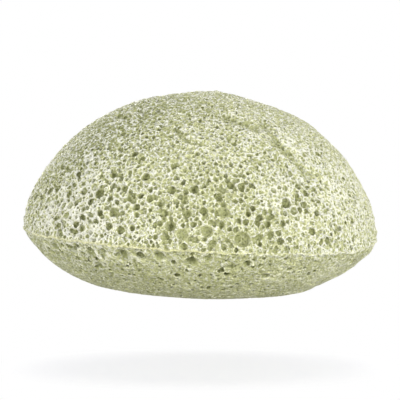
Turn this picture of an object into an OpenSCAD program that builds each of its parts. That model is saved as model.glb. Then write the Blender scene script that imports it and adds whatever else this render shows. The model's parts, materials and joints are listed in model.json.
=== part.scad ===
// Konjac sponge: one casting of open-cell gel foam. A half ball stands on a shallow bowl,
// and a fine bead runs around the rim between them, where the mould's halves met. The
// sponge rests on its bowl with a small lean to the right. Millimetres, Z up, front at -Y,
// origin under the middle of the sponge on the surface that it rests on.

/* [Outline] */
// Diameter at the rim, where the half ball meets the bowl
rim_d = 80; // [70:1:90]
// Height of the half ball above the rim
crown_h = 32.3; // [26:0.1:38]
// Depth of the bowl below the rim
bowl_h = 12.1; // [9:0.1:15]
// Radius of the bowl's side, seen in section
flank_r = 27; // [17:0.5:32]
// Thickness of the bead around the rim
bead_d = 0.7; // [0.6:0.1:1.6]

/* [Rest] */
// Angle by which the sponge leans to its right where it rests
rest_lean = 2; // [0:0.1:4]
// Depth to which the foam is pressed flat where it rests
foot_depth = 0.8; // [0.5:0.1:1.5]

/* [Pores] */
// Diameter of the largest open pore
pore_d = 3.8; // [2.4:0.1:4.4]
// Least wall of foam left between two of the larger pores
pore_wall = 0.12; // [0.08:0.02:0.4]
// Most pores that are scattered over the sides and back of the half ball
crown_pores = 110; // [0:1:140]
// Most pores that are scattered over the sides and back of the bowl
bowl_pores = 36; // [0:1:50]
// Which scatter of pores is drawn
scatter_seed = 7; // [1:1:99]

/* [Hidden] */
foam_colour = "#c6c79c";
round_fn = 160;
pore_fn = 32;

// Half ball in section: one arc from the rim to the top, about a middle on the axis
rim_r = rim_d / 2;
crown_r = (rim_r * rim_r + crown_h * crown_h) / (2 * crown_h);
crown_at = [0, crown_h - crown_r];
crown_start = asin((crown_r - crown_h) / crown_r);

// Bowl in section: one arc from the rim, tangent to a flat base
flank_rise = flank_r - bowl_h;
base_r = rim_r - sqrt(flank_r * flank_r - flank_rise * flank_rise);
flank_at = [base_r, flank_rise];
flank_start = asin(flank_rise / flank_r);

// Pose at rest: the lowest ring of the leaning bowl, and the lift that sets the foot on zero
lowest = flank_rise * cos(rest_lean) - base_r * sin(rest_lean) - flank_r;
lift = -(lowest + foot_depth);
overrun = rim_d;

// The bead stands proud of the rim by less than half its own thickness
bead_proud_share = 0.35;
// A pore is a bubble whose middle lies this share of its radius under the skin
pore_sink_share = 0.3;
// The largest pores are shallow dishes: their middles lie this share of the radius above it
dish_rise_share = 0.2;
dish_size_share = 0.65;

// Open pores seen from the front, as shares: across of rim_r, up of crown_h, size of pore_d
front_crown_shares = [
    [0.21, 0.09, 1.00], [0.26, 0.04, 0.42], [0.03, 0.13, 0.75], [-0.09, 0.10, 0.74],
    [0.11, 0.25, 0.72], [0.18, 0.15, 0.60], [-0.15, 0.15, 0.60], [-0.19, 0.12, 0.50],
    [-0.51, 0.32, 0.64], [-0.51, 0.20, 0.42], [-0.44, 0.21, 0.58], [-0.46, 0.12, 0.46],
    [-0.40, 0.10, 0.48], [-0.32, 0.25, 0.42], [-0.34, 0.12, 0.36], [-0.19, 0.22, 0.36],
    [-0.07, 0.23, 0.52], [0.01, 0.25, 0.46], [0.08, 0.34, 0.48], [0.14, 0.41, 0.46],
    [-0.04, 0.38, 0.52], [-0.15, 0.37, 0.48], [-0.28, 0.44, 0.50], [-0.44, 0.44, 0.46],
    [-0.34, 0.58, 0.42], [-0.14, 0.52, 0.42], [-0.74, 0.33, 0.42], [-0.68, 0.30, 0.46],
    [-0.38, 0.36, 0.42], [-0.44, 0.37, 0.40], [-0.30, 0.32, 0.36], [-0.64, 0.25, 0.42],
    [-0.75, 0.13, 0.36], [-0.64, 0.11, 0.42], [0.42, 0.31, 0.56], [0.51, 0.30, 0.40],
    [0.58, 0.25, 0.36], [0.52, 0.37, 0.42], [0.48, 0.41, 0.36], [0.40, 0.08, 0.42],
    [0.56, 0.14, 0.46], [0.65, 0.08, 0.46], [0.35, 0.12, 0.40], [0.28, 0.19, 0.36]
];
// The same for the bowl: across of rim_r, down of bowl_h, size of pore_d
front_bowl_shares = [
    [-0.68, 0.13, 0.42], [-0.56, 0.14, 0.44], [-0.49, 0.13, 0.40], [-0.39, 0.15, 0.48],
    [-0.30, 0.15, 0.50], [-0.04, 0.20, 0.70], [-0.63, 0.33, 0.34], [-0.52, 0.30, 0.38],
    [-0.13, 0.22, 0.30], [-0.11, 0.46, 0.40], [0.11, 0.34, 0.38], [0.14, 0.40, 0.38],
    [0.24, 0.20, 0.34], [0.34, 0.43, 0.44], [0.46, 0.30, 0.30], [-0.19, 0.56, 0.30]
];

// Scatter over the sides and back: from right of the front window, round to its left
scatter_from = -38;
scatter_turn = 256;
golden_share = 0.618034;
crown_low_share = 0.09;
crown_high_share = 0.72;
bowl_low_share = 0.20;
bowl_high_share = 0.66;
small_share = 0.34;
big_share = 0.9;
// Most bubbles are small, and few sit high: powers that bend an even spread
size_power = 4;
level_power = 1.4;

function part_of_one(x) = x - floor(x);
function between(low, high, share) = low + (high - low) * share;
function bubble_share(draw) = between(small_share, big_share, pow(draw, size_power));

// Middle of the section's arc at a level, and that arc's radius
function arc_at(level) = level < 0 ? flank_at : crown_at;
function arc_r(level) = level < 0 ? flank_r : crown_r;
// Distance of the skin from the axis at a level
function skin_r(level) =
    arc_at(level)[0] + sqrt(max(0, pow(arc_r(level), 2) - pow(level - arc_at(level)[1], 2)));

function sink_share(d) = d < dish_size_share * pore_d ? pore_sink_share : -dish_rise_share;

// A bubble as its middle, its radius and the turns that point its pole out of the skin,
// from its compass angle, its level and its diameter
function bubble(angle, level, d) =
    let (outward = [skin_r(level), level] - arc_at(level))
    let (p = [skin_r(level), level] - outward / norm(outward) * sink_share(d) * d / 2)
    [
        [p[0] * cos(angle), p[0] * sin(angle), p[1]],
        d / 2,
        [0, atan2(outward[0], outward[1]), angle]
    ];

// Compass angle of a place on the front that lies this far across
function front_angle(across, level) = -acos(across * rim_r / skin_r(level));
function front_bubbles(shares, reach) = [
    for (p = shares) bubble(front_angle(p[0], p[1] * reach), p[1] * reach, p[2] * pore_d)
];

// Bubbles round the sides and back, each a golden share of the turn past the last
function scattered_bubbles(levels, sizes) = [
    for (i = [1:1:len(levels) - 1])
        bubble(scatter_from + scatter_turn * part_of_one(i * golden_share),
               levels[i], pore_d * bubble_share(sizes[i]))
];

// Bubbles taken in turn, each kept only where a wall is left between it and those before
function is_clear(one, others) =
    len([for (o = others) if (norm(one[0] - o[0]) < one[1] + o[1] + pore_wall) o]) == 0;
function kept_apart(list, kept = [], i = 0) =
    i == len(list) ? kept
    : kept_apart(list, is_clear(list[i], kept) ? concat(kept, [list[i]]) : kept, i + 1);

crown_levels = [
    for (draw = rands(0, 1, crown_pores + 1, scatter_seed))
        crown_h * between(crown_low_share, crown_high_share, pow(draw, level_power))
];
bowl_levels = [
    for (draw = rands(0, 1, bowl_pores + 1, 2 * scatter_seed))
        -bowl_h * between(bowl_low_share, bowl_high_share, draw)
];
pores = kept_apart(concat(
    front_bubbles(front_crown_shares, crown_h),
    front_bubbles(front_bowl_shares, -bowl_h),
    scattered_bubbles(crown_levels, rands(0, 1, crown_pores + 1, 3 * scatter_seed)),
    scattered_bubbles(bowl_levels, rands(0, 1, bowl_pores + 1, 4 * scatter_seed))
));

module sector(at, r, from, to) {
    intersection() {
        translate(at) circle(r = r, $fn = round_fn);
        polygon([
            at,
            at + 2 * r * [cos(from), sin(from)],
            at + 2 * r * [cos((from + to) / 2), sin((from + to) / 2)],
            at + 2 * r * [cos(to), sin(to)]
        ]);
    }
}

module half_section() {
    sector(crown_at, crown_r, crown_start, 90);
    sector(flank_at, flank_r, -90, -flank_start);
    polygon([
        [0, -bowl_h],
        [base_r, -bowl_h],
        [rim_r, 0],
        crown_at
    ]);
    translate([rim_r + bead_d * (bead_proud_share - 1 / 2), 0]) circle(d = bead_d, $fn = round_fn);
}

module at_rest() {
    translate([0, 0, lift]) rotate([0, rest_lean, 0]) children();
}

module sponge_body() {
    color(foam_colour)
    difference() {
        at_rest() rotate_extrude($fn = round_fn) half_section();
        translate([-overrun, -overrun, -overrun])
            cube([2 * overrun, 2 * overrun, overrun]);
        at_rest() for (p = pores) translate(p[0]) rotate(p[2]) sphere(r = p[1], $fn = pore_fn);
    }
}

sponge_body();
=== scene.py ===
# %% [markdown]
# # A konjac sponge
#
# The object is a face sponge: one casting of konjac gel, whipped full of air, set in a round
# mould and frozen, so that what is left is a wet, springy foam. It has no second piece. All of
# its look is in the foam: thin, pale, shiny walls around thousands of small olive hollows.
#
# The CAD model gives the body at its real size, with the largest pores already cut in it. This
# script keeps that body and those pores, and adds the foam, its finish and the light.

import json
import math

import bpy
import numpy as np
import openvdb
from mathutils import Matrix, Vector

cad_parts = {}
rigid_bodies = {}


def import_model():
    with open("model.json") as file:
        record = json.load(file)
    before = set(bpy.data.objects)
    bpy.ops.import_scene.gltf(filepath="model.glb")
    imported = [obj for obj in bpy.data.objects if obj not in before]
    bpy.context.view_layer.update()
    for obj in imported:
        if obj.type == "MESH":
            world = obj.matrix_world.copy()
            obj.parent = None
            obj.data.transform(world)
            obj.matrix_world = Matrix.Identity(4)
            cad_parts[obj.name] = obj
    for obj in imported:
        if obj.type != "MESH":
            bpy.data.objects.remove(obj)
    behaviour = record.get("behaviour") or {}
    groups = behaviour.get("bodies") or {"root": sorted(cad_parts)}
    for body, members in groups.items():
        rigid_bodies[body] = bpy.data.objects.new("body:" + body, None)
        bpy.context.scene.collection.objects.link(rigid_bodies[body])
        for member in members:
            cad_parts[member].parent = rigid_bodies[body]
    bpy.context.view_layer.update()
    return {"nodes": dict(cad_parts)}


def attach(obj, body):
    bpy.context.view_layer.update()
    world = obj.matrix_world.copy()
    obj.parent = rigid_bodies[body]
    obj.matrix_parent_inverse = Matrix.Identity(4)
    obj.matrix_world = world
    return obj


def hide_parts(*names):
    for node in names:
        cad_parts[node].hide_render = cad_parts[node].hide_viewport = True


MM = 0.001
for left_over in list(bpy.data.objects):
    bpy.data.objects.remove(left_over)
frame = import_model()

# %% [markdown]
# ## Sizes
#
# The shape is worked out in millimetres, and turned to metres when the mesh is made. The sizes
# are the CAD model's: a half ball over a shallow bowl, resting with a small lean to its right.

# %% Sizes of the sponge, in millimetres
RIM_R = 40.0
CROWN_H = 32.3
BOWL_H = 12.1
FLANK_R = 27.0
FOOT_DEPTH = 0.8
REST_LEAN = math.radians(2)

CROWN_R = (RIM_R**2 + CROWN_H**2) / (2 * CROWN_H)
CROWN_AT = CROWN_H - CROWN_R
CROWN_START = math.asin(-CROWN_AT / CROWN_R)
FLANK_AT = FLANK_R - BOWL_H
BASE_R = RIM_R - math.sqrt(FLANK_R**2 - FLANK_AT**2)
FLANK_START = math.asin(FLANK_AT / FLANK_R)
LOWEST = FLANK_AT * math.cos(REST_LEAN) - BASE_R * math.sin(REST_LEAN) - FLANK_R
LIFT = -(LOWEST + FOOT_DEPTH)
print(f"rim's middle is {LIFT:.2f} mm up, flat base {BASE_R:.2f} mm in radius")

# %% [markdown]
# ## Camera
#
# The camera comes first, since every later choice is judged through it. A product photograph is
# taken with a long lens from a little above, so that the rim shows as a nearly straight line.
# "Standard" shows each colour as it is, without the softer curve that suits films.

# %% Camera
CAMERA_RISE = math.radians(4.9)
CAMERA_REACH = 318.7
AIM_ABOVE_RIM = 7.85
LENS = 126.6
SENSOR = 36
SEEN_FROM, SEEN_TO = 0.01, 20


def add_object(name, data):
    """Adds an object that shows some data to the scene."""
    made = bpy.data.objects.new(name, data)
    bpy.context.scene.collection.objects.link(made)
    return made


camera_data = bpy.data.cameras.new("camera")
camera_data.lens = LENS
camera_data.sensor_width = SENSOR
camera_data.clip_start, camera_data.clip_end = SEEN_FROM, SEEN_TO
camera = add_object("camera", camera_data)
bpy.context.scene.camera = camera
bpy.context.scene.view_settings.view_transform = "Standard"
aim = Vector((0.0, 0.0, LIFT + AIM_ABOVE_RIM)) * MM
camera.location = Vector((
    0.0,
    -CAMERA_REACH * math.cos(CAMERA_RISE),
    LIFT + CAMERA_REACH * math.sin(CAMERA_RISE),
)) * MM
camera.rotation_euler = (aim - camera.location).to_track_quat("-Z", "Y").to_euler()
print("camera at", [round(c, 4) for c in camera.location])

# %% [markdown]
# ## The body's real outline
#
# A set gel is softer than its mould. It sags a little over the rim, so that the shoulder of the
# half ball is up to a millimetre fuller than one plain arc, and the whole skin is faintly lumpy.
#
# Lumps have to be uneven but smooth, so they are a sum of waves that run through space in random
# directions. The same seed gives the same waves on each run.

# %% Random waves
def random_waves(seed, count, shortest, longest):
    """Waves in random directions with lengths in mm, as their vectors and their starts."""
    draws = np.random.default_rng(seed)
    ways = draws.normal(size=(count, 3))
    ways /= np.linalg.norm(ways, axis=1)[:, None]
    lengths = draws.uniform(shortest, longest, count)
    return ways * (2 * np.pi / lengths)[:, None], draws.uniform(0, 2 * np.pi, count)


def wavy(points, waves):
    """The sum of the waves at points, between about -1 and 1."""
    vectors, starts = waves
    return np.sin(points @ vectors.T + starts).sum(1) / math.sqrt(len(starts))


lump_waves = random_waves(seed=11, count=14, shortest=9, longest=26)
print(f"{len(lump_waves[1])} waves make the lumps")

# %% [markdown]
# One function moves points of the plain body to the sagged one. It moves the CAD body and every
# bubble alike, so the two always agree. Two more functions stand points at rest, leaned and
# lifted onto the foot, and bring them back to the plain body's own frame.

# %% Sagged body
SHOULDER_PROUD = 0.95
SHOULDER_POWER = 2.4
# The peak of share * (1 - share) ** SHOULDER_POWER
SHOULDER_PEAK = 0.1275
LEAST_COSINE = 0.05
LEAST_ACROSS = 0.1
BACK_PASSES = 3
LUMP_PROUD = 0.22


def fullness(turn):
    """How far the crown stands out sideways, in mm, at an angle above the rim's level."""
    share = np.clip((turn - CROWN_START) / (np.pi / 2 - CROWN_START), 0, 1)
    outward = SHOULDER_PROUD * share * (1 - share) ** SHOULDER_POWER / SHOULDER_PEAK
    return outward / np.maximum(np.cos(turn), LEAST_COSINE)


def spread_out(points, way):
    """Moves points of the crown sideways by its fullness, out for way 1 and back for way -1."""
    across = np.hypot(points[:, 0], points[:, 1])
    plain = across
    for _ in range(1 if way > 0 else BACK_PASSES):
        out = fullness(np.arctan2(points[:, 2] - CROWN_AT, plain)) * (points[:, 2] > 0)
        plain = across - out
    ratio = 1 + way * out / np.maximum(across, LEAST_ACROSS)
    return points * np.stack([ratio, ratio, np.ones_like(ratio)], 1)


def sagged(points):
    """Points of the plain body, standing square on its axis, moved to the sagged body."""
    outward = points - [0, 0, CROWN_AT]
    outward /= np.linalg.norm(outward, axis=1)[:, None]
    return spread_out(points + outward * LUMP_PROUD * wavy(points, lump_waves)[:, None], 1)


def lean(points):
    """The plain body stood at rest: leaned, and lifted onto its foot."""
    c, s = math.cos(REST_LEAN), math.sin(REST_LEAN)
    x, y, z = points.T
    return np.stack([x * c + z * s, y, z * c - x * s + LIFT], 1)


def unlean(points):
    """The reverse of lean."""
    c, s = math.cos(REST_LEAN), math.sin(REST_LEAN)
    x, y, z = points[:, 0], points[:, 1], points[:, 2] - LIFT
    return np.stack([x * c - z * s, y, x * s + z * c], 1)


widest = fullness(np.linspace(CROWN_START, np.pi / 2, 90)).max()
print(f"the crown stands out sideways by up to {widest:.2f} mm")

# %% [markdown]
# ## The body as a block of numbers
#
# A mesh editor can't cut tens of thousands of overlapping bubbles. A volume can: a block of
# small cubes, each with its distance to the skin, below zero inside. Cutting a bubble is then one
# `maximum` on the cubes near it. OpenVDB comes with Blender, and turns the CAD body's triangles
# into such a block. The cubes are 0.19 mm, about the thickness of a wall.

# %% Volume of the body
CUBE = 0.19
BAND = 3
MARGIN = 8
ON_FLOOR = 0.001

body = frame["nodes"]["sponge_body"].data
corners = np.zeros(len(body.vertices) * 3, np.float32)
body.vertices.foreach_get("co", corners)
corners = corners.reshape(-1, 3).astype(float) / MM
body.calc_loop_triangles()
triangles = np.zeros(len(body.loop_triangles) * 3, np.int32)
body.loop_triangles.foreach_get("vertices", triangles)
triangles = triangles.reshape(-1, 3)

on_foot = corners[:, 2] < ON_FLOOR
corners = lean(sagged(unlean(corners)))
corners[on_foot, 2] = 0
level_set = openvdb.FloatGrid.createLevelSetFromPolygons(
    corners.astype(np.float32),
    triangles=triangles.astype(np.uint32),
    transform=openvdb.createLinearTransform(voxelSize=CUBE),
    halfWidth=BAND,
)
first = np.floor(corners.min(0) / CUBE).astype(int) - MARGIN
counts = np.ceil(corners.max(0) / CUBE).astype(int) + MARGIN - first
foam = np.zeros(counts, np.float32)
level_set.copyToArray(foam, ijk=tuple(int(i) for i in first))
grid_lines = [(first[a] + np.arange(counts[a])) * CUBE for a in range(3)]
print(f"volume of {' x '.join(map(str, counts))} cubes, {len(triangles)} CAD triangles")

# %% [markdown]
# ## Places on the skin
#
# Bubbles are thrown at the skin evenly by area. The body's section is a list of points from the
# top of the crown, round the rim, to the middle of the base. Each step of it sweeps a ring round
# the axis, so a draw along the running total of the rings' areas is even.

# %% Even draws on the skin
STEPS = 1500
crown_turn = np.linspace(np.pi / 2, CROWN_START, STEPS)
flank_turn = np.linspace(-FLANK_START, -np.pi / 2, STEPS)
base_line = np.linspace(BASE_R, 0, STEPS)
section = np.concatenate([
    np.stack([CROWN_R * np.cos(crown_turn), CROWN_AT + CROWN_R * np.sin(crown_turn)], 1),
    np.stack([BASE_R + FLANK_R * np.cos(flank_turn), FLANK_AT + FLANK_R * np.sin(flank_turn)], 1),
    np.stack([base_line, np.full(STEPS, -BOWL_H)], 1),
])
section_out = np.concatenate([
    np.stack([np.cos(crown_turn), np.sin(crown_turn)], 1),
    np.stack([np.cos(flank_turn), np.sin(flank_turn)], 1),
    np.stack([np.zeros(STEPS), np.full(STEPS, -1.0)], 1),
])
step_lengths = np.linalg.norm(np.diff(section, axis=0), axis=1)
ring_areas = 2 * np.pi * step_lengths * (section[1:, 0] + section[:-1, 0]) / 2
area_so_far = np.concatenate([[0], np.cumsum(ring_areas)])
print(f"skin of {area_so_far[-1]:.0f} square mm")


def skin_places(draws, count):
    """That many places on the skin: point at rest, outward direction, and level above the rim."""
    along = np.interp(draws.random(count) * area_so_far[-1], area_so_far, np.arange(len(section)))
    at = along.astype(int)
    compass = draws.random(count) * 2 * np.pi
    r, level = section[at].T
    out_r, out_z = section_out[at].T
    c, s = np.cos(compass), np.sin(compass)
    points = lean(sagged(np.stack([r * c, r * s, level], 1)))
    outward = lean(np.stack([out_r * c, out_r * s, out_z], 1)) - [0, 0, LIFT]
    pressed = points[:, 2] < 0
    points[pressed, 2] = 0
    outward[pressed] = [0, 0, -1]
    return points, outward, level


# %% [markdown]
# ## The bubbles
#
# Whipped foam is crowded: a smaller bubble fills each gap between large ones. So bubble mouths
# are thrown at the skin in order of size, the large ones first. A mouth is kept if the room that
# its neighbours leave is enough, and shrinks to that room less a thin wall.
#
# To find a mouth's neighbours quickly, each cube of a millimetre lists the mouths near it.

# %% Room between bubble mouths
TOUCH = 0.04
FINEST = 0.27
COARSEST = 0.8
REACH = COARSEST + TOUCH
FAR = 9.0

near = {}


def room_at(point):
    """Distance from a place on the skin to the nearest mouth's edge."""
    x, y, z = point
    room = FAR
    for (qx, qy, qz, r) in near.get((int(x // 1), int(y // 1), int(z // 1)), ()):
        gap = math.sqrt((x - qx) ** 2 + (y - qy) ** 2 + (z - qz) ** 2) - r
        if gap < room:
            room = gap
    return room


def claim(point, radius):
    """Lists a mouth in every cube that it comes near."""
    low = [int((c - radius - REACH) // 1) for c in point]
    high = [int((c + radius + REACH) // 1) for c in point]
    entry = (point[0], point[1], point[2], radius)
    for i in range(low[0], high[0] + 1):
        for j in range(low[1], high[1] + 1):
            for k in range(low[2], high[2] + 1):
                near.setdefault((i, j, k), []).append(entry)


print(f"mouths will be {2 * FINEST:.2f} to {2 * COARSEST:.2f} mm wide")

# %% [markdown]
# The foam's bubbles keep clear of the CAD body's own pores. Corners of the CAD mesh that lie just
# under the skin are at the edges of those pores, so each is claimed as a mouth of no size. The
# fine bead round the rim, where the mould closed, has no bubbles in it, so a row of small places
# along it is claimed as well.

# %% Claim the edges of the CAD body's pores
EDGE_DEPTHS = (0.12, 0.45)
EDGE_STEP = 0.25
BEAD_ROOM = 0.12


def skin_depth(points):
    """Depth of points at rest under the sagged skin, with the foot's face left out."""
    p = spread_out(unlean(points), -1)
    across = np.hypot(p[:, 0], p[:, 1])
    crown = CROWN_R - np.hypot(across, p[:, 2] - CROWN_AT)
    flank = FLANK_R - np.hypot(across - BASE_R, p[:, 2] - FLANK_AT)
    base = p[:, 2] + BOWL_H
    plain = np.minimum(crown, np.where(across < BASE_R, base, flank))
    return plain + LUMP_PROUD * wavy(p, lump_waves)


depths = skin_depth(corners)
on_edge = (depths > EDGE_DEPTHS[0]) & (depths < EDGE_DEPTHS[1]) & ~on_foot
edges = np.unique(np.round(corners[on_edge] / EDGE_STEP), axis=0) * EDGE_STEP
for edge in edges.tolist():
    claim(edge, 0.0)
bead_turn = np.arange(0, 2 * np.pi, EDGE_STEP / RIM_R)
bead = np.stack([np.cos(bead_turn), np.sin(bead_turn), 0 * bead_turn], 1) * [RIM_R, RIM_R, 1]
for place in lean(bead).tolist():
    claim(place, BEAD_ROOM)
print(f"{len(edges)} places along the CAD pores' edges, {len(bead)} along the rim")

# %% [markdown]
# How coarse the foam is differs from place to place. It is coarsest low on the crown, where the
# bubbles rose and met, finer towards the top and the right, and finest on the bowl, which set
# first against the cold mould. Patches about a centimetre wide differ too.

# %% Coarseness of the foam
TOP_FINER, TOP_LEVELS = 0.85, (6, 23)
RIGHT_FINER, RIGHT_REACH = 0.45, (6, 34)
BOWL_COARSENESS = 0.45
PATCHINESS = 0.45
LEAST_COARSENESS = 0.03
patch_waves = random_waves(seed=5, count=10, shortest=6, longest=16)


def ramp(value, low, high):
    """0 below low, 1 above high, smooth between."""
    share = np.clip((value - low) / (high - low), 0, 1)
    return share * share * (3 - 2 * share)


def coarseness(points, level):
    """From 0, the finest foam, to 1, the coarsest."""
    height = 1 - TOP_FINER * ramp(level, *TOP_LEVELS)
    bowl = np.where(level < 0, BOWL_COARSENESS, 1.0)
    right = 1 - RIGHT_FINER * ramp(points[:, 0], *RIGHT_REACH)
    patchy = 1 + PATCHINESS * wavy(points, patch_waves)
    return np.clip(height * bowl * right * patchy, LEAST_COARSENESS, 1)


sampled = coarseness(corners, unlean(corners)[:, 2])
print(f"coarseness from {sampled.min():.2f} to {sampled.max():.2f}")

# %% [markdown]
# Large mouths are rare, so their share of the sizes is bent by a power. A mouth that would
# shrink too far is dropped, and the next draw gets the place.

# %% Throw the bubbles
THROWN = 5000
FILLERS = 240000
FILLER = 0.54
SIZE_POWER = 1.9
LEAST_SHARE = 0.7

throws = np.random.default_rng(3)
points, outward, level = skin_places(throws, THROWN)
share = throws.random(THROWN) ** SIZE_POWER * coarseness(points, level)
sizes = FINEST + (COARSEST - FINEST) * share
order = np.argsort(-sizes)
filler_points, filler_outward, filler_level = skin_places(throws, FILLERS)
filler_sizes = FINEST + (FILLER - FINEST) * throws.random(FILLERS)

all_points = np.concatenate([points[order], filler_points])
all_outward = np.concatenate([outward[order], filler_outward])
all_sizes = np.concatenate([sizes[order], filler_sizes])
all_level = np.concatenate([level[order], filler_level])
cube_of = tuple(np.round(all_points / CUBE).astype(int).T - first[:, None])
in_gel = foam[cube_of] < CUBE

mouths = []
for i in np.flatnonzero(in_gel).tolist():
    point = all_points[i].tolist()
    size = min(all_sizes[i], room_at(point) - TOUCH)
    if size > max(FINEST, LEAST_SHARE * all_sizes[i]):
        claim(point, size)
        mouths.append((i, size))
print(f"{len(mouths)} bubble mouths kept of {len(all_points)} thrown")

# %% [markdown]
# ## From bubbles to cells
#
# In a set foam the bubbles have swollen until they met, so that a flat wall stands between each
# two. The volume does the same. Each cube keeps its distance to the nearest bubble and to the
# second nearest, and where the two are alike, between two bubbles, the wall stays.

# %% Distance to the nearest two bubbles
MEET = 0.3
nearest = np.ones(foam.shape, np.float32)
second = np.ones(foam.shape, np.float32)


def cubes_round(centre, radius):
    """The part of the volume round a point, and distances to it along each side."""
    low = [max(0, int((c - radius) / CUBE - n)) for c, n in zip(centre, first)]
    high = [int((c + radius) / CUBE - n) + 2 for c, n in zip(centre, first)]
    part = tuple(slice(a, b) for a, b in zip(low, high))
    return (
        part,
        (grid_lines[0][part[0]] - centre[0])[:, None, None],
        (grid_lines[1][part[1]] - centre[1])[None, :, None],
        (grid_lines[2][part[2]] - centre[2])[None, None, :],
    )


def swell(centre, radius, along, stretch):
    """Adds a bubble to the distances, drawn out along a direction."""
    part, dx, dy, dz = cubes_round(centre, radius * stretch + MEET)
    along_it = dx * along[0] + dy * along[1] + dz * along[2]
    away = np.sqrt(dx * dx + dy * dy + dz * dz - (1 - stretch**-2) * along_it * along_it)
    gap = (away - radius).astype(np.float32)
    second[part] = np.minimum(second[part], np.maximum(nearest[part], gap))
    nearest[part] = np.minimum(nearest[part], gap)


print(f"two blocks of {nearest.size} distances")

# %% [markdown]
# A bubble's depth follows from its mouth: a shallow dish, or a hollow wider than its mouth. On
# the bowl the cells are shallow, and on the crown shallower at the right than at the left. Each
# is drawn out a little along the skin, because the foam was stirred while it set.

# %% Swell the bubbles until they meet
SWELL, BOWL_SWELL = 1.3, 0.3
WALL = 0.2
DEEPEST, SHALLOWEST = 1.4, 0.28
DEPTH_POWER = 1.6
BOWL_DEPTH = 0.4
RIGHT_SHALLOWER, RIGHT_SIDE = 0.35, (6, 26)
LONGEST, LENGTH_POWER = 0.5, 1.5

kept = np.array([m[0] for m in mouths])
mouth_r = np.array([m[1] for m in mouths])
middles = all_points[kept]
out = all_outward[kept]
on_bowl = all_level[kept] < 0
deepness = SHALLOWEST + (DEEPEST - SHALLOWEST) * throws.random(len(kept)) ** DEPTH_POWER
right_depth = 1 - RIGHT_SHALLOWER * ramp(middles[:, 0], *RIGHT_SIDE)
deepness *= np.where(on_bowl, BOWL_DEPTH, right_depth)
bubble_r = mouth_r * (1 + deepness**2) / (2 * deepness)
sink = mouth_r * deepness - bubble_r
swollen = bubble_r + mouth_r * (SWELL - 1) * np.where(on_bowl, BOWL_SWELL, 1.0)
centres = middles - out * sink[:, None]
sideways = np.cross(out, throws.normal(size=(len(kept), 3)))
sideways /= np.linalg.norm(sideways, axis=1)[:, None]
stretches = 1 + LONGEST * throws.random(len(kept)) ** LENGTH_POWER
for centre, radius, along, stretch in zip(
    centres.tolist(), swollen.tolist(), sideways.tolist(), stretches.tolist()
):
    swell(centre, radius, along, stretch)
np.maximum(foam, np.minimum(-nearest, (second - nearest - WALL) / 2), out=foam)
print(f"grew {len(centres)} cells, {2 * mouth_r.min():.2f} to {2 * mouth_r.max():.2f} mm wide")

# %% [markdown]
# ## Broken walls
#
# Not every wall holds. A second layer of bubbles lies under the first, and where one of them
# broke through, a dark hole shows in the floor of a cell. Smaller bubbles also break through the
# walls of the large pores, and through the tops of walls. Each is a ball cut out of the volume,
# and none touches the bead round the rim.

# %% Break through floors and walls
UNDER, UNDER_SIZES, UNDER_DEPTHS = 5000, (0.25, 0.7), (0.35, 0.8)
UNDER_LEAST = 0.4
INNER, INNER_SIZES, INNER_DEPTH = 500, (0.2, 0.4), 0.5
BITES, BITE_SIZES, BITE_RISES = 7000, (0.18, 0.4), (0.2, 0.7)


def cut(centre, radius):
    """Takes a ball out of the volume."""
    part, dx, dy, dz = cubes_round(centre, radius + 2 * CUBE)
    ball = radius - np.sqrt(dx * dx + dy * dy + dz * dz)
    foam[part] = np.maximum(foam[part], ball.astype(np.float32))


under, under_out, under_level = skin_places(throws, UNDER)
coarse = coarseness(under, under_level)
under_r = throws.uniform(*UNDER_SIZES, UNDER) * (UNDER_LEAST + (1 - UNDER_LEAST) * coarse)
under -= under_out * (under_r * throws.uniform(*UNDER_DEPTHS, UNDER))[:, None]
walls = corners[(depths > INNER_DEPTH) & ~on_foot]
inner = walls[throws.choice(len(walls), INNER, replace=False)]
inner_r = throws.uniform(*INNER_SIZES, INNER)
bites, bites_out, _ = skin_places(throws, BITES)
bite_r = throws.uniform(*BITE_SIZES, BITES)
bites += bites_out * (bite_r * throws.uniform(*BITE_RISES, BITES))[:, None]
layers = {"under": (under, under_r), "inner": (inner, inner_r), "bites": (bites, bite_r)}
for name, (spots, radii) in layers.items():
    off_bead = np.abs(unlean(spots)[:, 2]) > BEAD_ROOM + radii
    for centre, radius in zip(spots[off_bead].tolist(), radii[off_bead].tolist()):
        cut(centre, radius)
    print(f"{name}: {off_bead.sum()} of {len(spots)} balls cut")

# %% [markdown]
# A row of shallow dishes lies just under the rim at the front, where large bubbles were pressed
# flat between the mould's halves. They are few and easy to see, so they are listed one by one.

# %% Dishes under the rim
DISH_DEPTH = 0.55
# Across in shares of the rim's radius, down in shares of the bowl's depth, and radius in shares
# of the rim's
dish_shares = [
    (-0.757, 0.16, 0.030), (-0.66, 0.17, 0.036), (-0.553, 0.20, 0.034), (-0.498, 0.17, 0.034),
    (-0.39, 0.15, 0.046), (-0.30, 0.15, 0.030), (-0.515, 0.40, 0.030), (-0.04, 0.22, 0.042),
    (0.04, 0.12, 0.026), (0.24, 0.20, 0.030), (0.34, 0.43, 0.026), (-0.20, 0.12, 0.034),
]
dishes = []
for across_share, down_share, radius_share in dish_shares:
    x, z, mouth = across_share * RIM_R, -down_share * BOWL_H, radius_share * RIM_R
    r = BASE_R + math.sqrt(FLANK_R**2 - (z - FLANK_AT) ** 2)
    on_skin = np.array([x, -math.sqrt(r * r - x * x), z])
    way = np.array([x / r * (r - BASE_R), on_skin[1] / r * (r - BASE_R), z - FLANK_AT]) / FLANK_R
    ball = (mouth**2 + DISH_DEPTH**2) / (2 * DISH_DEPTH)
    middle = lean(sagged((on_skin + way * (ball - DISH_DEPTH))[None]))[0]
    cut(middle.tolist(), ball)
    dishes.append((lean(sagged(on_skin[None]))[0], mouth))
print(f"{len(dishes)} dishes, up to {2 * max(mouth for _, mouth in dishes):.1f} mm wide")

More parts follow.
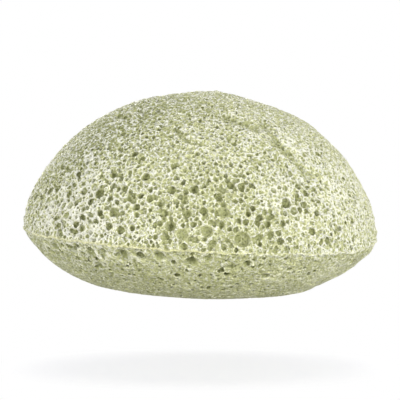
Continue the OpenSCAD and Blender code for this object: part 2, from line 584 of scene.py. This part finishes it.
# %% [markdown]
# ## The mesh
#
# OpenVDB draws the surface where the numbers pass through zero, and joins neighbours that are
# nearly flat into larger faces.

# %% Mesh of the foam
EVENING = 0.06
volume = openvdb.FloatGrid(background=float(BAND * CUBE))
volume.copyFromArray(foam, ijk=tuple(int(i) for i in first))
volume.transform = openvdb.createLinearTransform(voxelSize=CUBE)
verts, threes, fours = volume.convertToPolygons(isovalue=0.0, adaptivity=EVENING)
verts = verts.astype(float)
verts[:, 2] = np.maximum(verts[:, 2], 0)
print(f"{len(verts)} corners, {len(threes) + 2 * len(fours)} triangles")

# %% [markdown]
# ## What the finish needs to know
#
# The finish paints shade into the hollows and paints the crests of the walls paler, as light
# and shade would fall on them, so each corner of the mesh carries a few marks. How much gel
# stands close round a corner tells crests from floors, and the same over a wider reach tells a
# large hollow. Softening the volume gives both for the whole mesh at once.

# %% Reading a softened volume
def halved(block):
    """The block at half its resolution, each cube the mean of eight."""
    even = block[: block.shape[0] // 2 * 2, : block.shape[1] // 2 * 2, : block.shape[2] // 2 * 2]
    a, b, c = (n // 2 for n in even.shape)
    return even.reshape(a, 2, b, 2, c, 2).mean((1, 3, 5))


def blurred(block, times):
    """The block softened along each side in turn."""
    for _ in range(times):
        for axis in range(3):
            before, after = np.roll(block, 1, axis), np.roll(block, -1, axis)
            block = (2 * block + before + after) / 4
    return block


def read_at(block, places):
    """Values of a block at places given in its own cubes, blended between neighbours."""
    base = np.floor(places).astype(int)
    x, y, z = (places - base).astype(np.float32).T
    total = np.zeros(len(places), np.float32)
    for dx, dy, dz in np.ndindex(2, 2, 2):
        weight = np.abs(1 - dx - x) * np.abs(1 - dy - y) * np.abs(1 - dz - z)
        total += weight * block[base[:, 0] + dx, base[:, 1] + dy, base[:, 2] + dz]
    return total


gel = np.clip(0.5 - foam / CUBE, 0, 1)
print(f"{gel.sum() * CUBE**3 / 1000:.0f} cubic cm of gel")

# %% [markdown]
# The other marks say how deep a corner lies under the skin, whether it is on the bowl, and how
# near it is to the bead, which fades towards the right.

# %% Marks
NEAR_BLUR, WIDE_BLUR = 3, 7
BEAD_THIN = 0.22
BEAD_OUT = (RIM_R - 1.0, RIM_R - 0.3)
BEAD_FADE, BEAD_FADES = 0.8, (-8, 16)
BOWL_BELOW = (0.3, 1.0)
DAMP_PATCHES = 0.07

places = verts / CUBE - first
rest_places = unlean(verts)
level = rest_places[:, 2]
out_to = np.hypot(rest_places[:, 0], rest_places[:, 1])
marks = {
    "shelter": read_at(blurred(gel, NEAR_BLUR), places),
    "hollow": read_at(blurred(halved(gel), WIDE_BLUR), (places - 0.5) / 2),
    "depth": skin_depth(verts),
    "bowl": ramp(-level, *BOWL_BELOW),
    "bead": np.exp(-((level / BEAD_THIN) ** 2)) * ramp(out_to, *BEAD_OUT),
    # Random patches of tone, to which painted shade and painted highlights are added below
    "tone_and_shade": DAMP_PATCHES * wavy(verts, patch_waves),
    # Patches where the painted shade of floors and crests is stretched, filled in below
    "contrast_patch": np.zeros(len(verts)),
}
marks["bead"] *= 1 - BEAD_FADE * ramp(rest_places[:, 0], *BEAD_FADES)
for name, values in marks.items():
    print(name, "5%, middle, 95%:", np.round(np.percentile(values, [5, 50, 95]), 2))

# %% [markdown]
# ## Creases
#
# A wet sponge is never quite round. Handling has left short creases on the front of the crown,
# each a soft valley between two low lips. They go in last, by moving the mesh's corners, so that
# the cells go down into a crease with the skin instead of being cut off by it. Each valley gets
# painted shade, a little darker, and the lips are painted paler, as a painted highlight.

# %% Press the creases in
CREASE_DEPTH = 0.65
LIP_PROUD, LIP_AT, LIP_WIDTH = 0.12, 1.9, 0.6
LIP_HIGHLIGHT = 0.25
VALLEY_SHADE = 0.5
CREASE_REACH = 4
# Each crease as its width in mm, how much painted shade its valley gets, and its points: across
# in shares of the rim's radius, up in shares of the crown's height
crease_shares = [
    (0.55, 0.36, [(-0.15, 0.75), (-0.11, 0.70), (-0.07, 0.67), (0.00, 0.66)]),
    (1.5, 0.20, [(0.10, 0.84), (0.18, 0.81), (0.27, 0.77)]),
    (1.2, 0.30, [(0.31, 0.80), (0.38, 0.68), (0.41, 0.65), (0.49, 0.57), (0.54, 0.49)]),
    (0.7, 0.20, [(-0.36, 0.86), (-0.31, 0.85), (-0.25, 0.85)]),
    (0.7, 0.20, [(-0.48, 0.80), (-0.41, 0.81)]),
    (0.7, 0.25, [(-0.11, 0.85), (-0.05, 0.84)]),
    (0.8, 0.15, [(0.58, 0.50), (0.64, 0.42)]),
]


def front_place(across_share, up_share):
    """A place on the front of the crown, at rest, from its shares."""
    x, z = across_share * RIM_R, up_share * CROWN_H
    r = math.sqrt(CROWN_R**2 - (z - CROWN_AT) ** 2)
    r += float(fullness(np.array([math.atan2(z - CROWN_AT, r)]))[0])
    return lean(np.array([[x, -math.sqrt(r * r - x * x), z]]))[0]


def away_from_line(points, a, b):
    """Distance from points to the line between a and b."""
    along = np.clip((points - a) @ (b - a) / ((b - a) @ (b - a)), 0, 1)
    return np.linalg.norm(points - a - along[:, None] * (b - a), axis=1)


push = np.zeros(len(verts))
for width, amount, crease in crease_shares:
    line = [front_place(*share) for share in crease]
    low, high = np.min(line, 0) - CREASE_REACH, np.max(line, 0) + CREASE_REACH
    close_by = np.flatnonzero(((verts > low) & (verts < high)).all(1))
    gap = np.min([away_from_line(verts[close_by], a, b) for a, b in zip(line, line[1:])], 0)
    valley = np.exp(-((gap / width) ** 2))
    lips = np.exp(-(((gap - LIP_AT * width) / (LIP_WIDTH * width)) ** 2))
    push[close_by] += LIP_PROUD * lips - CREASE_DEPTH * valley
    # The valley gets painted shade and the lips a painted highlight
    marks["tone_and_shade"][close_by] += amount * (valley - LIP_HIGHLIGHT * lips)
    marks["depth"][close_by] += VALLEY_SHADE * valley
print(f"{len(crease_shares)} creases, down to {-push.min():.2f} mm")

# %% [markdown]
# The skin is not even. In some places the painted shade of the floors and the paler crests are
# stretched, so the walls stand out white against their cells, and in others the whole skin is
# more olive. The largest such places are listed below. The dishes under the rim get painted
# shade in their middles and painted highlights on their edges.

# %% Dry and damp places
DISH_SHADE, DISH_MIDDLE = 0.24, 0.8
DISH_EDGE_HIGHLIGHT, DISH_EDGE_AT, DISH_EDGE_WIDTH = 0.2, 1.08, 0.12
# Across and up as above, radius in shares of the rim's radius, how much the painted shade is
# stretched, and how much more olive the skin is
place_shares = [
    (-0.64, 0.16, 0.28, 1.3, -0.22), (-0.96, 0.10, 0.30, 0.9, 0.12), (-0.60, 0.66, 0.36, 0.6, 0.22),
    (-0.28, 0.88, 0.26, 0.4, 0.2), (0.02, 0.90, 0.24, 0.2, 0.05), (-0.62, 0.52, 0.16, 0.4, 0.1),
    (0.75, 0.35, 0.40, 0.45, -0.08), (0.30, 0.70, 0.30, 0.3, -0.03), (0.0, 0.20, 0.32, -0.2, 0.02),
    (0.50, 0.10, 0.20, 0.0, -0.06),
]
for across_share, up_share, radius_share, contrast_patch, tone_and_shade in place_shares:
    away = np.linalg.norm(verts - front_place(across_share, up_share), axis=1)
    here = np.exp(-((away / (radius_share * RIM_R)) ** 2))
    marks["contrast_patch"] += contrast_patch * here
    marks["tone_and_shade"] += tone_and_shade * here
# Painted shade in each dish's middle and a painted highlight round its edge
for on_skin, mouth in dishes:
    away = np.linalg.norm(verts - on_skin, axis=1) / mouth
    middle = np.exp(-((away / DISH_MIDDLE) ** 6))
    edge = np.exp(-(((away - DISH_EDGE_AT) / DISH_EDGE_WIDTH) ** 2))
    marks["tone_and_shade"] += DISH_SHADE * middle - DISH_EDGE_HIGHLIGHT * edge
print("strongest_contrast_patch", np.round(marks["contrast_patch"].max(), 2), "strongest_tone_and_shade", np.round(marks["tone_and_shade"].max(), 2))

# %% [markdown]
# The skin is faintly rough all over, more so on the bowl, and its tone varies with it. The foot
# is left out, since it is pressed flat.

# %% Roughen the skin
ROUGH_PROUD = 0.07
TONE_FINER, TONE_START, TONE_SHARE = 1.7, 2, 0.1
OFF_FOOT = (0.05, 1.0)
rough_waves = random_waves(seed=8, count=20, shortest=1.3, longest=4.5)
tone_waves = (TONE_FINER * rough_waves[0], np.full(len(rough_waves[1]), TONE_START))
outward = verts - [0, 0, LIFT + CROWN_AT]
outward /= np.linalg.norm(outward, axis=1)[:, None]
push += ROUGH_PROUD * (1 + marks["bowl"]) * wavy(verts, rough_waves)
marks["tone_and_shade"] += TONE_SHARE * wavy(verts, tone_waves)
off_foot = ramp(verts[:, 2], *OFF_FOOT)
verts += outward * (push * off_foot)[:, None]
print(f"skin moved {push.min():.2f} to {push.max():.2f} mm")

# %% [markdown]
# The rim has gone out of its plane. It droops towards the right and turns up again at its right
# tip, both tips are worn blunt, and the bowl under the right side is hollowed. Each of these is
# a soft push on the corners near by.

# %% Bend the rim and the bowl
RIM_TWIST, RIM_BAND = 0.016, 9.0
TIP_RISE, TIP_RISES = 1.2, (31, 40)
BOWL_FULLER, BOWL_FILLS = 0.6, (0.5, 3)
CROWN_LEANER, CROWN_THINS = 0.3, (1, 4)
TIP_SIDE = (31, 38)
TIP_BLUNT, TIP_BAND, TIPS = 0.4, 1.5, (32, 39)
TIP_FADE = 0.8

rim_near = np.exp(-(((verts[:, 2] - LIFT) / RIM_BAND) ** 2)) * off_foot
verts[:, 2] -= RIM_TWIST * verts[:, 0] * rim_near
verts[:, 2] += TIP_RISE * ramp(verts[:, 0], *TIP_RISES) * rim_near
fuller = BOWL_FULLER * ramp(-level, *BOWL_FILLS) - CROWN_LEANER * ramp(level, *CROWN_THINS)
verts[:, 0] += fuller * ramp(verts[:, 0], *TIP_SIDE) * rim_near
to_tip = ramp(np.abs(verts[:, 0]), *TIPS)
at_rim = np.exp(-((level / TIP_BAND) ** 2))
verts[:, 0] -= TIP_BLUNT * np.sign(verts[:, 0]) * to_tip * at_rim
marks["bead"] *= 1 - TIP_FADE * to_tip
tips = [verts[:, 0].min(), verts[:, 0].max()]
print("the rim's tips are at", np.round(tips, 2), "mm")

# %% Hollow the bowl and wave the bead
BOWL_HOLLOW, HOLLOW_SIDE, HOLLOW_BELOW = 0.7, (14, 30), (0.5, 5)
LEFT_BOWL_SHADE, LEFT_SIDE = 0.07, (0, 20)
HOLLOW_PALER = 0.09
BEAD_WAVE, BEAD_BAND = 0.16, 1.6
# Waves along the rim: how many go round it, how strong, and where they start
bead_waves = [(23, 1.0, 1.0), (41, 1.0, 0.0), (67, 0.7, 2.0)]

right_bowl = ramp(verts[:, 0], *HOLLOW_SIDE) * ramp(-level, *HOLLOW_BELOW)
verts[:, 2] += BOWL_HOLLOW * right_bowl * off_foot
# Painted shade on the bowl's left, facing away from the light, and a paler right hollow
left_bowl = marks["bowl"] * ramp(-verts[:, 0], *LEFT_SIDE)
marks["tone_and_shade"] += LEFT_BOWL_SHADE * left_bowl - HOLLOW_PALER * right_bowl
bead_near = np.exp(-((level / BEAD_BAND) ** 2))
compass = np.arctan2(verts[:, 1], verts[:, 0])
wave = sum(strong * np.sin(count * compass + start) for count, strong, start in bead_waves)
verts[:, 2] += BEAD_WAVE * wave / 2 * bead_near
verts[:, 2] = np.maximum(verts[:, 2], 0)
print(f"the bead waves by up to {BEAD_WAVE * np.abs(wave).max() / 2:.2f} mm")

# %% [markdown]
# ## One object for the whole foam
#
# A mesh this large is built fastest by handing Blender whole arrays. The marks become attributes
# of its corners, where the finish can read them. OpenVDB lists a face's corners so that it faces
# out of the gel, which is what Blender wants too.

# %% Make the mesh object
corner_of = np.concatenate([fours.ravel(), threes.ravel()]).astype(np.int32)
sides = np.concatenate([np.full(len(fours), 4), np.full(len(threes), 3)])
starts = (np.cumsum(sides) - sides).astype(np.int32)
sponge_mesh = bpy.data.meshes.new("sponge")
sponge_mesh.vertices.add(len(verts))
sponge_mesh.vertices.foreach_set("co", (verts * MM).astype(np.float32).ravel())
sponge_mesh.loops.add(len(corner_of))
sponge_mesh.loops.foreach_set("vertex_index", corner_of)
sponge_mesh.polygons.add(len(sides))
sponge_mesh.polygons.foreach_set("loop_start", starts)
sponge_mesh.polygons.foreach_set("use_smooth", np.ones(len(sides), bool))
sponge_mesh.update(calc_edges=True)
for name, values in marks.items():
    layer = sponge_mesh.attributes.new(name, "FLOAT", "POINT")
    layer.data.foreach_set("value", np.ascontiguousarray(values, np.float32))
sponge = add_object("sponge", sponge_mesh)
print(f"{len(sides)} faces, {len(marks)} marks on each corner")

# %% [markdown]
# ## A map for the skin
#
# A renderer needs no flat map for a procedural finish, but a game engine does. Two round charts
# are enough: the crown seen from above and the bowl seen from below, each spread by angle from
# its pole, so that the steep sides get their share.

# %% Map of the skin
CHART_R = 0.235
CROWN_CHART, BOWL_CHART, CHART_UP = 0.25, 0.75, 0.5
ANGLE_AT_EDGE = math.radians(105)
rise = verts[:, 2] - LIFT
turn = np.arctan2(np.hypot(verts[:, 0], verts[:, 1]), np.abs(rise))
spread = CHART_R * turn / ANGLE_AT_EDGE
face_rise = np.add.reduceat(rise[corner_of], starts) / sides
upper = (face_rise > 0).repeat(sides)
across, along = spread * np.cos(compass), spread * np.sin(compass)
uv = np.stack([
    np.where(upper, CROWN_CHART, BOWL_CHART) + np.where(upper, 1, -1) * across[corner_of],
    CHART_UP + along[corner_of],
], 1)
flat_map = sponge_mesh.uv_layers.new(name="OFBake")
flat_map.data.foreach_set("uv", uv.astype(np.float32).ravel())
print("the map spans", np.round([uv.min(0), uv.max(0)], 3).tolist())

# %% [markdown]
# ## Finish: wet konjac gel
#
# Colours are written as they look on screen, and one function turns them to the linear values
# that the renderer counts in. A second small function adds a node with its settings and links.

# %% Colour and node helpers
def colour(code):
    """An sRGB hex colour as a linear colour."""
    parts = [int(code[i : i + 2], 16) / 255 for i in (1, 3, 5)]
    return [p / 12.92 if p <= 0.04045 else ((p + 0.055) / 1.055) ** 2.4 for p in parts] + [1.0]


def empty_tree(owner):
    """The node tree of a material or a world, with no nodes in it."""
    owner.use_nodes = True
    owner.node_tree.nodes.clear()
    return owner.node_tree


def add_node(tree, kind, inputs=None, **settings):
    """Adds a node. inputs holds values, sockets or nodes, by the input's name or number."""
    made = tree.nodes.new(kind)
    for name, value in settings.items():
        setattr(made, name, value)
    for key, value in (inputs or {}).items():
        if isinstance(value, bpy.types.Node):
            value = value.outputs[0]
        if isinstance(value, bpy.types.NodeSocket):
            tree.links.new(value, made.inputs[key])
        else:
            made.inputs[key].default_value = value
    return made


def set_stops(ramp_node, stops):
    """Gives a Color Ramp its stops, as a list of place and hex colour."""
    elements = ramp_node.color_ramp.elements
    while len(elements) < len(stops):
        elements.new(0.5)
    for element, (place, code) in zip(elements, stops):
        element.position = place
        element.color = colour(code)


print("mid grey is", round(colour("#808080")[0], 3), "in linear light")

# %% [markdown]
# The gel is whipped, frozen and thawed konjac: a clear, faintly green jelly full of air. Where
# its walls are thin they scatter light and look pale, nearly white, and where one looks into a
# hollow through more gel it is olive. So the finish is one scale of colour, and most nodes only
# work out how dark each point is. That darkness is partly this real colour and partly painted
# shade in the hollows, with the crests painted paler, as where light falls on them.
#
# The mesh stops at bubbles half a millimetre wide, and the real skin has finer cells. Two layers
# of them, 0.55 and 0.9 mm wide, are drawn with painted shade on their floors and walls painted
# paler. Their places are swayed by a noise, because straight cell walls look like a honeycomb.

# %% Fine cells that the mesh can't hold
SWAY = 0.45
SWAY_WAVE = 0.9
FINE_CELL, SMALL_CELL = 0.55, 0.9
WALL_FROM, WALL_TO = 0.3, 1.3

gel_finish = bpy.data.materials.new("wet_konjac_gel")
tree = empty_tree(gel_finish)
position = add_node(tree, "ShaderNodeTexCoord").outputs["Object"]
marked = {
    name: add_node(tree, "ShaderNodeAttribute", attribute_name=name).outputs["Fac"]
    for name in marks
}
sway = add_node(tree, "ShaderNodeTexNoise", {
    "Vector": position, "Scale": 1 / (SWAY_WAVE * MM), "Detail": 1.0,
})
centred = add_node(tree, "ShaderNodeVectorMath", {
    0: sway.outputs["Color"], 1: [0.5, 0.5, 0.5],
}, operation="SUBTRACT")
swayed = add_node(tree, "ShaderNodeVectorMath", {
    0: centred, 1: [SWAY * MM] * 3, 2: position,
}, operation="MULTIPLY_ADD")

floors, shades = [], []
# Each layer: cell width in mm, wall width, painted shade on floors, how much paler the walls are
for size, wall_share, floor_dark, wall_pale in (
    (FINE_CELL, 0.2, 0.3, 0.05), (SMALL_CELL, 0.14, 0.16, 0.03),
):
    edge = add_node(tree, "ShaderNodeTexVoronoi", {
        "Vector": swayed, "Scale": 1 / (size * MM),
    }, feature="DISTANCE_TO_EDGE")
    own = add_node(tree, "ShaderNodeTexVoronoi", {"Vector": swayed, "Scale": 1 / (size * MM)})
    floors.append(add_node(tree, "ShaderNodeMapRange", {
        "Value": edge, "From Min": WALL_FROM * wall_share, "From Max": WALL_TO * wall_share,
    }))
    chance = add_node(tree, "ShaderNodeSeparateColor", {0: own.outputs["Color"]})
    tone = add_node(tree, "ShaderNodeMapRange", {
        "Value": chance, "From Min": 0.15, "From Max": 1.0,
        "To Min": wall_pale, "To Max": wall_pale + floor_dark,
    })
    shades.append(add_node(tree, "ShaderNodeMath", {
        0: floors[-1], 1: tone, 2: -wall_pale,
    }, operation="MULTIPLY_ADD"))
fine = add_node(tree, "ShaderNodeMath", {0: shades[0], 1: shades[1]}, operation="ADD")
print(f"{len(shades)} layers of fine cells")

# %% [markdown]
# Thin white threads along the crests of the walls are painted highlights. They form a web that
# widens in the patches where the painted shade is stretched, and small glints are painted
# highlights too. The web is a third, wider set of cells seen only at its edges, and a noise
# breaks it up. The glints are the peaks of a fine noise.

# %% Threads and glints
WEB_CELL = 1.05
BREAK_WAVE = 0.9
GLINT_WAVE = 0.5
# Where a painted highlight along the threads starts and stops to fade, and how much farther
# in the patches where the painted shade is stretched
THREAD, THREAD_PATCH_WIDER = 0.03, 0.08
THREAD_SOFT, THREAD_SOFT_PATCH_WIDER = 0.1, 0.1

web = add_node(tree, "ShaderNodeTexVoronoi", {
    "Vector": swayed, "Scale": 1 / (WEB_CELL * MM),
}, feature="DISTANCE_TO_EDGE")
thick = add_node(tree, "ShaderNodeMath", {
    0: marked["contrast_patch"], 1: THREAD_PATCH_WIDER, 2: THREAD,
}, operation="MULTIPLY_ADD")
thicker = add_node(tree, "ShaderNodeMath", {
    0: marked["contrast_patch"], 1: THREAD_SOFT_PATCH_WIDER, 2: THREAD_SOFT,
}, operation="MULTIPLY_ADD")
thread_highlight = add_node(tree, "ShaderNodeMapRange", {
    "Value": web, "From Min": thick, "From Max": thicker, "To Min": 1.0, "To Max": 0.0,
})
breaks = add_node(tree, "ShaderNodeTexNoise", {
    "Vector": position, "Scale": 1 / (BREAK_WAVE * MM), "Detail": 0.0,
})
unbroken = add_node(tree, "ShaderNodeMapRange", {"Value": breaks, "From Min": 0.44, "From Max": 0.52})
broken_thread_highlight = add_node(tree, "ShaderNodeMath", {0: thread_highlight, 1: unbroken}, operation="MULTIPLY")
glint = add_node(tree, "ShaderNodeTexNoise", {
    "Vector": position, "Scale": 1 / (GLINT_WAVE * MM), "Detail": 0.0,
})
glint_highlight = add_node(tree, "ShaderNodeMapRange", {"Value": glint, "From Min": 0.64, "From Max": 0.72})
painted_highlight = add_node(tree, "ShaderNodeMath", {0: broken_thread_highlight, 1: glint_highlight}, operation="MAXIMUM")
print(f"threads {WEB_CELL} mm apart, glints {GLINT_WAVE} mm")

# %% [markdown]
# The fine cells belong on the open skin. They fade in the hollows that the mesh already has, on
# the bowl, where the skin is tighter, and on the bead, which is smooth.

# %% Where the fine cells show
open_skin = add_node(tree, "ShaderNodeMapRange", {
    "Value": marked["depth"], "From Min": 0.2, "From Max": 0.7, "To Min": 1.0, "To Max": 0.15,
})
tight_skin = add_node(tree, "ShaderNodeMapRange", {"Value": marked["bowl"], "To Min": 1.0, "To Max": 0.6})
off_bead = add_node(tree, "ShaderNodeMapRange", {"Value": marked["bead"], "To Min": 1.0, "To Max": 0.5})
open_share = add_node(tree, "ShaderNodeMath", {0: open_skin, 1: tight_skin}, operation="MULTIPLY")
fine_share = add_node(tree, "ShaderNodeMath", {0: open_share, 1: off_bead}, operation="MULTIPLY")
print(f"{len(tree.nodes)} nodes for the fine cells")

# %% [markdown]
# How dark a point is adds up from painted shade in the hollows of the mesh and paler crests,
# random patches of tone with painted shade in creases and dishes, the fine cells, and on the
# bowl from slanting streaks, where the gel ran down the mould. In some patches the whole scale
# is stretched, so that white walls stand beside dark floors.

# %% How dark each point is
STREAK_WAVE, STREAK_FLAT = 2.2, 2.2
STREAK_SLANT = math.radians(25)
MIDDLE_TONE = 0.25
PATCH_CONTRAST, PATCH_PALER = 0.7, 0.03

# Painted shade: floors darker and crests paler, by how much gel stands round a corner
crest_and_floor_shade = add_node(tree, "ShaderNodeMapRange", {
    "Value": marked["shelter"], "From Min": 0.28, "From Max": 0.66,
    "To Min": -0.03, "To Max": 0.54,
})
# Painted shade in the large hollows
hollow_shade = add_node(tree, "ShaderNodeMapRange", {
    "Value": marked["hollow"], "From Min": 0.45, "From Max": 0.68,
    "To Min": 0.0, "To Max": 0.46,
})
streak_places = add_node(tree, "ShaderNodeMapping", {
    "Vector": swayed, "Rotation": [0.0, STREAK_SLANT, 0.0], "Scale": [1.0, 1.0, STREAK_FLAT],
})
streaks = add_node(tree, "ShaderNodeTexNoise", {
    "Vector": streak_places, "Scale": 1 / (STREAK_WAVE * MM), "Detail": 3.0, "Roughness": 0.7,
})
streak = add_node(tree, "ShaderNodeMapRange", {
    "Value": streaks, "From Min": 0.35, "From Max": 0.65, "To Min": -0.11, "To Max": 0.19,
})
tone = add_node(tree, "ShaderNodeMath", {0: streak, 1: marked["bowl"]}, operation="MULTIPLY")
for more in (crest_and_floor_shade, hollow_shade, marked["tone_and_shade"]):
    tone = add_node(tree, "ShaderNodeMath", {0: tone, 1: more}, operation="ADD")
plain_dark = add_node(tree, "ShaderNodeMath", {
    0: fine, 1: fine_share, 2: tone,
}, operation="MULTIPLY_ADD")
contrast = add_node(tree, "ShaderNodeMath", {
    0: marked["contrast_patch"], 1: PATCH_CONTRAST, 2: 1.0,
}, operation="MULTIPLY_ADD")
middle = add_node(tree, "ShaderNodeMath", {
    0: marked["contrast_patch"], 1: -PATCH_PALER, 2: MIDDLE_TONE,
}, operation="MULTIPLY_ADD")
from_middle = add_node(tree, "ShaderNodeMath", {
    0: plain_dark, 1: MIDDLE_TONE,
}, operation="SUBTRACT")
darkness = add_node(tree, "ShaderNodeMath", {
    0: from_middle, 1: contrast, 2: middle,
}, operation="MULTIPLY_ADD")
print(f"{len(tree.nodes)} nodes up to the darkness")

# %% [markdown]
# Last comes the colour itself. Wet gel bends light about as water does, and a thin film of water
# lies over it, hence a low IOR and a faint coat. The bead, pressed between the mould's halves, is
# a denser, yellower gel. Small bumps give the fine cells and threads their edges.

# %% Wet konjac gel
gel_colour = add_node(tree, "ShaderNodeValToRGB", {"Fac": darkness})
set_stops(gel_colour, [
    (0.0, "#fffee8"), (0.07, "#eeefbc"), (0.16, "#d6d8a5"), (0.4, "#c0c28c"), (0.75, "#aeb27c"),
    (1.0, "#989c67"),
])
# The threads and glints are painted highlights, mixed into the colour as near white
highlight_share = add_node(tree, "ShaderNodeMath", {0: painted_highlight, 1: fine_share}, operation="MULTIPLY")
highlighted = add_node(tree, "ShaderNodeMix", {
    "Factor": highlight_share, 6: gel_colour, 7: colour("#fffff0"),
}, data_type="RGBA")
bead_share = add_node(tree, "ShaderNodeMapRange", {"Value": marked["bead"], "To Max": 0.8})
bead_colour = add_node(tree, "ShaderNodeMix", {
    "Factor": bead_share, 6: highlighted.outputs[2], 7: colour("#f0eeae"),
}, data_type="RGBA")

# Each bump as its height in mm, below zero for floors that sink, and what it follows
gel_bump = None
for distance, height in ((-0.1, floors[0]), (0.06, painted_highlight), (-0.08, floors[1])):
    under_it = {"Normal": gel_bump} if gel_bump else {}
    gel_bump = add_node(tree, "ShaderNodeBump", {
        "Strength": 1.0, "Distance": distance * MM, "Height": height, **under_it,
    })
shader = add_node(tree, "ShaderNodeBsdfPrincipled", {
    "Base Color": bead_colour.outputs[2],
    "Roughness": 0.4,
    "IOR": 1.36,
    "Coat Weight": 0.2,
    "Coat Roughness": 0.2,
    "Normal": gel_bump,
    "Coat Normal": gel_bump,
})
add_node(tree, "ShaderNodeOutputMaterial", {"Surface": shader})
sponge_mesh.materials.append(gel_finish)
print(f"{gel_finish.name}: {len(tree.nodes)} nodes")

# %% [markdown]
# ## Floor, backdrop and light
#
# The sponge in the photograph hovers over a faint shadow, as product pictures do, so the floor
# lies 18.6 mm below the foot. It is white paper, which throws a soft light up at the bowl. To the
# camera, part of its white is its own glow, which keeps the shadow faint, and farther out it
# turns into the backdrop's plain white, so that no edge shows.

# %% Floor and backdrop
FLOOR_DROP = 18.6
FLOOR_HALF = 2.5
# Share of the floor's white that comes from the light on it, and so can be shaded
FLOOR_LEVEL = 0.65
# The glow is a little blue, since the sponge throws a greenish light on the paper
GLOW = [1.0, 1.0, 1.18, 1.0]
# Distances, in metres, over which the plain backdrop takes over, nearer from front to back
SHADOW_FROM, SHADOW_TO, SHADOW_NARROWER = 0.024, 0.048, 1.7

low = -FLOOR_DROP * MM
floor_mesh = bpy.data.meshes.new("floor")
floor_mesh.from_pydata(
    [(FLOOR_HALF * x, FLOOR_HALF * y, low) for x, y in ((-1, -1), (1, -1), (1, 1), (-1, 1))],
    [], [(0, 1, 2, 3)],
)
floor = add_object("floor", floor_mesh)
paper = bpy.data.materials.new("white_paper")
tree = empty_tree(paper)
seen = add_node(tree, "ShaderNodeLightPath").outputs["Is Camera Ray"]
plain = add_node(tree, "ShaderNodeBsdfDiffuse", {"Color": colour("#e6e6e2")})
white = add_node(tree, "ShaderNodeBsdfDiffuse", {"Color": [1, 1, 1, 1]})
glow = add_node(tree, "ShaderNodeEmission", {"Color": GLOW, "Strength": 1 - FLOOR_LEVEL})
lit = add_node(tree, "ShaderNodeAddShader", {0: white, 1: glow})
floor_place = add_node(tree, "ShaderNodeTexCoord").outputs["Object"]
oval = add_node(tree, "ShaderNodeVectorMath", {
    0: floor_place, 1: [1.0, SHADOW_NARROWER, 0.0],
}, operation="MULTIPLY")
reach = add_node(tree, "ShaderNodeVectorMath", {0: oval}, operation="LENGTH").outputs["Value"]
far = add_node(tree, "ShaderNodeMapRange", {
    "Value": reach, "From Min": SHADOW_FROM, "From Max": SHADOW_TO,
}, interpolation_type="SMOOTHSTEP")
backdrop = add_node(tree, "ShaderNodeEmission", {"Color": [1, 1, 1, 1], "Strength": 1.0})
shown = add_node(tree, "ShaderNodeMixShader", {"Fac": far, 1: lit, 2: backdrop})
either = add_node(tree, "ShaderNodeMixShader", {"Fac": seen, 1: plain, 2: shown})
add_node(tree, "ShaderNodeOutputMaterial", {"Surface": either})
floor_mesh.materials.append(paper)
print(f"floor {FLOOR_DROP} mm below the foot")

# %% [markdown]
# The world is plain white to the camera and in reflections. As a light it is bright at the level
# of the horizon and dim overhead, as in a studio with white walls and a dark ceiling, so that the
# top of the sponge keeps some shape.

# %% World
WALLS = 0.9
CEILING = 0.1
world = bpy.data.worlds.new("studio")
bpy.context.scene.world = world
tree = empty_tree(world)
path = add_node(tree, "ShaderNodeLightPath")
shown = add_node(tree, "ShaderNodeMath", {
    0: path.outputs["Is Camera Ray"], 1: path.outputs["Is Glossy Ray"],
}, operation="MAXIMUM")
white = add_node(tree, "ShaderNodeBackground", {"Color": [1, 1, 1, 1], "Strength": 1.0})
sky_place = add_node(tree, "ShaderNodeTexCoord").outputs["Generated"]
height = add_node(tree, "ShaderNodeSeparateXYZ", {0: sky_place}).outputs["Z"]
level_light = add_node(tree, "ShaderNodeMapRange", {
    "Value": height, "From Min": 0.0, "From Max": 0.9, "To Min": WALLS, "To Max": CEILING,
})
dim = add_node(tree, "ShaderNodeBackground", {"Color": [1, 1, 1, 1], "Strength": level_light})
sky = add_node(tree, "ShaderNodeMixShader", {"Fac": shown, 1: dim, 2: white})
add_node(tree, "ShaderNodeOutputWorld", {"Surface": sky})
print(f"the world gives {WALLS} at the horizon and {CEILING} overhead")

# %% [markdown]
# Five softboxes stand round the sponge. The key, from the right, makes that side the brightest,
# and the side lamp rakes the left, so that its walls stand out. The front and back ones keep
# the light even as one walks round, and the top one makes the shadow on the floor. A lamp's
# power follows from its distance and the share of plain white that it adds.

# %% Lamps
# Each lamp's place and width in metres, and its share of plain white
lamps = {
    "key": ((0.65, -0.6, 0.15), 0.2, 0.6),
    "front": ((-0.45, -0.85, 0.07), 0.3, 0.16),
    "side": ((-0.8, -0.42, 0.09), 0.15, 0.32),
    "back": ((-0.1, 0.9, 0.12), 0.4, 0.36),
    "top": ((0.02, -0.02, 0.7), 0.25, 0.2),
}
for name, (place, width, share) in lamps.items():
    lamp = bpy.data.lights.new(name, "AREA")
    lamp.shape = "SQUARE"
    lamp.size = width
    distance = (Vector(place) - aim).length
    lamp.energy = share * math.pi**2 * distance**2
    softbox = add_object(name, lamp)
    softbox.location = place
    softbox.rotation_euler = (aim - Vector(place)).to_track_quat("-Z", "Y").to_euler()
    print(f"{name}: {distance:.2f} m away, {lamp.energy:.2f} W")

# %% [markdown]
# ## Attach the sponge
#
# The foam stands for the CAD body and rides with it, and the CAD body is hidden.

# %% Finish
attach(sponge, "root")
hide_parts("sponge_body")
